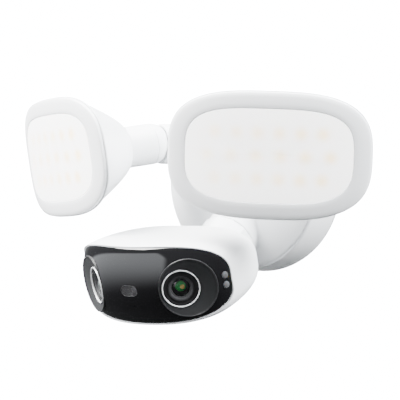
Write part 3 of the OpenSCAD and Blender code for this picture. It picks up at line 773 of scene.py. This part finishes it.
def make_lens(side, name):
    """Dish, bright ring, stepped barrel and, behind the glass, its baffle and elements, whose bright green and
    amber colours are painted glints.
    """
    dish = solid("lens_dish_" + name, loft(dish_rings(side), caps=False), lens_frame(side))
    finish(dish, "camera", "satin_black", "lens_dish_" + name, look="dish_black")
    place = barrel_frame(side)
    bead = arc(12.5, 0.75, 0.35, 0, -180, 8)
    ring = solid("lens_ring_" + name, revolved(
        [(12.85, 1.55), (12.85, 0.75)] + bead + [(12.15, 1.55)], 128), place)
    finish(ring, "camera", "bright_ring", "lens_ring_" + name)
    barrel = solid("lens_barrel_" + name, revolved(
        [(13, 1.65), (11.9, 1.65), (11.8, 1.35), (10.7, 1.35), (10.6, 1.5), (9.1, 1.5), (9.0, 1.35),
         (8.75, 1.35), (8.7, 1.9), (8.7, 6), (BARREL_BORE_R, 6), (BARREL_BORE_R, 21), (10.5, 24),
         (10.5, 6), (13, 6)], 128), place)
    finish(barrel, "camera", "satin_black", "lens_barrel_" + name, look="barrel_black")
    cone = solid("lens_cone_" + name, revolved(
        [(8.65, 5.5), (8.65, 1.75), (8.3, 1.55), (8.0, 1.6), (7.2, 2.3), (7.15, 2.6), (6.5, 3.0),
         (BARREL_BORE_R, 3.2), (BARREL_BORE_R, 5.5)], 128), place)
    finish(cone, "camera", "satin_black", look="barrel_grey")
    radii = [GLASS_R * i / 14 for i in range(15)]
    front = [(r, 2 + GLASS_CURVE_R - sqrt(GLASS_CURVE_R ** 2 - r ** 2)) for r in radii]
    hollow = [(5.2 * i / 8, 5.0 - 1.2 * (1 - (i / 8) ** 2)) for i in range(8, -1, -1)]
    glass = solid("lens_glass_" + name, revolved(
        front + [(GLASS_R, 5.0), (5.2, 5.0)] + hollow, 96, cyclic=False), place)
    finish(glass, "camera", "lens_glass", "lens_glass_" + name)
    baffle = solid("lens_baffle_" + name, revolved(
        [(6.15, 5.1), (5.0, 5.2), (4.9, 6.0), (4.3, 6.1), (4.2, 7.0), (3.6, 7.1), (3.5, 8.2),
         (2.9, 8.3), (2.8, 12), (6.1, 12)], 96), place)
    finish(baffle, "camera", "satin_black", look="barrel_black")
    # The green element and the small off-centre amber disc below carry painted glints: their bright colours stand
    # in for reflections in the coated glass.
    inner = solid("lens_element_" + name, dome_cap(3.45, 6.6, 1.3, 8.1, 10), place)
    finish(inner, "camera", "lens_glass", look="green_coat_painted_glint")
    deep = solid("lens_amber_glint_" + name, dome_cap(1.5, 6.15, 0.35, 6.55, 8),
                 place @ shift(0.9 * side, 0, -0.3))
    finish(deep, "camera", "lens_glass", look="amber_coat_painted_glint")


make_housing()
make_face()
make_face_details()
for lens_side, lens_name in ((1, "right"), (-1, "left")):
    make_lens(lens_side, lens_name)

# Every CAD node gets its slot's material, also those that a piece stands for.
for subpart in frame["record"]["subparts"]:
    node = frame["nodes"][subpart["node"]]
    node.data.materials.clear()
    node.data.materials.append(materials[subpart["material_slot"]])


# ---- Stage: floor, light and camera ----

FLOOR_PLACE, FLOOR_R = (0, 0.2, -2.4), 1200
FOCAL_LENGTH, SENSOR_W = 152.86, 36
CAMERA_PLACE = (0.6933, -1.0820, 0.01377)
CAMERA_RIGHT, CAMERA_UP = (0.8212, 0.5706, -0.0075), (-0.0061, 0.0219, 0.9997)
CAMERA_BACK = (0.5706, -0.8210, 0.0215)
BACKDROP, PANEL, REAR_GLOW = 20.0, 4.0, 1.8
PANEL_MIDDLE = (-0.80, -0.60, 0.0)
PANEL_TOP, PANEL_CORNER = (-0.078, -0.449, -0.890), (-0.572, -0.298, -0.764)
REAR_MIDDLE = (0.0, 1.0, 0.35)


def make_floor():
    """A pale round floor, as far below as a wall light hangs."""
    profile = [(0, 0), (FLOOR_R - 20, 0), (FLOOR_R, -10), (FLOOR_R, -20), (0, -20)]
    floor = solid("floor", revolved(profile, 96, cyclic=False),
                  Matrix.Translation(FLOOR_PLACE) @ turn("X", -90))
    floor.data.materials.append(surface("floor_paint", (0.78, 0.78, 0.78), 0.6, grain=60.0))
    floor.visible_glossy = False


def make_camera():
    """The camera fitted to the photograph's outlines."""
    data = bpy.data.cameras.new("camera")
    data.sensor_width = SENSOR_W
    data.lens = FOCAL_LENGTH
    obj = bpy.data.objects.new("camera", data)
    bpy.context.scene.collection.objects.link(obj)
    pose = Matrix((CAMERA_RIGHT, CAMERA_UP, CAMERA_BACK)).transposed().to_4x4()
    obj.matrix_world = Matrix.Translation(CAMERA_PLACE) @ pose
    bpy.context.scene.camera = obj


def area_light(name, place, target, size, power, spread, color, gloss=True):
    """A square soft light; without gloss it leaves no reflection in the black face."""
    data = bpy.data.lights.new(name, "AREA")
    data.size = size
    data.energy = power
    data.spread = radians(spread)
    data.color = color
    obj = bpy.data.objects.new(name, data)
    bpy.context.scene.collection.objects.link(obj)
    aim = Vector(target) - Vector(place)
    obj.matrix_world = Matrix.Translation(place) @ aim.to_track_quat("-Z", "Y").to_matrix().to_4x4()
    obj.visible_glossy = gloss


def make_world():
    """A white backdrop that only the camera sees, a soft panel at the front left, a glow behind.

    The panel fades downwards, and two tilted planes cut off its upper side.
    """
    world = bpy.data.worlds.new("studio")
    bpy.context.scene.world = world
    world.use_nodes = True
    n = Nodes(world.node_tree)
    background = world.node_tree.nodes["Background"]
    toward = n.add("TexCoord").outputs["Generated"]

    def facing(direction, low, high):
        """From 0 to 1 as the cosine of the angle to a direction goes from low to high."""
        dot = n.add("VectorMath", operation="DOT_PRODUCT")
        n.join(toward, dot.inputs[0])
        dot.inputs[1].default_value = Vector(direction).normalized()
        return n.ramp(dot.outputs["Value"], low, high, smooth=True)

    split = n.add("SeparateXYZ")
    n.join(toward, split.inputs[0])
    height = split.outputs["Z"]
    fade = n.ramp(height, -0.45, 0.40, 0.0, 1.0, smooth=True)
    below_top = facing(PANEL_TOP, -0.02, 0.02)
    corner = facing(PANEL_CORNER, -0.02, 0.03)
    middle = facing(PANEL_MIDDLE, 0.50, 0.60)
    panel = n.math("MULTIPLY", n.math("MULTIPLY", fade, below_top), middle)
    panel = n.math("MULTIPLY", panel, corner)
    above = n.ramp(height, -0.1, 0.2, 0.0, REAR_GLOW)
    rear = n.math("MULTIPLY", facing(REAR_MIDDLE, 0.2, 0.9), above)
    ambient = n.ramp(height, -0.5, 0.2, 0.10, 0.28)
    light = n.math("ADD", n.math("MULTIPLY_ADD", panel, PANEL, ambient), rear)
    seen = n.add("LightPath").outputs["Is Camera Ray"]
    total = n.math("ADD", light, n.math("MULTIPLY", seen, BACKDROP))
    n.join(total, background.inputs["Strength"])
    background.inputs["Color"].default_value = (0.93, 0.965, 1.0, 1)


make_floor()
make_camera()
make_world()
area_light("key", (-0.85, -0.80, 1.65), (0, -0.1, -0.02), 1.2, 70, 70, (1.0, 0.99, 0.98))
area_light("left_fill", (-1.5, -1.35, 0.55), (0, -0.1, 0), 1.0, 17, 90, (1.0, 0.995, 0.985),
           gloss=False)
area_light("front_fill", (-0.3, -1.6, 1.1), (0, -0.1, 0), 1.2, 12, 90, (1.0, 0.995, 0.99),
           gloss=False)
area_light("right_fill", (1.70, 0.35, 0.95), (0, -0.1, 0), 0.8, 55, 90, (0.97, 0.985, 1.0),
           gloss=False)
area_light("rear_fill", (0.9, 0.35, 1.5), (0, -0.1, 0), 1.0, 30, 90, (0.95, 0.98, 1.0))
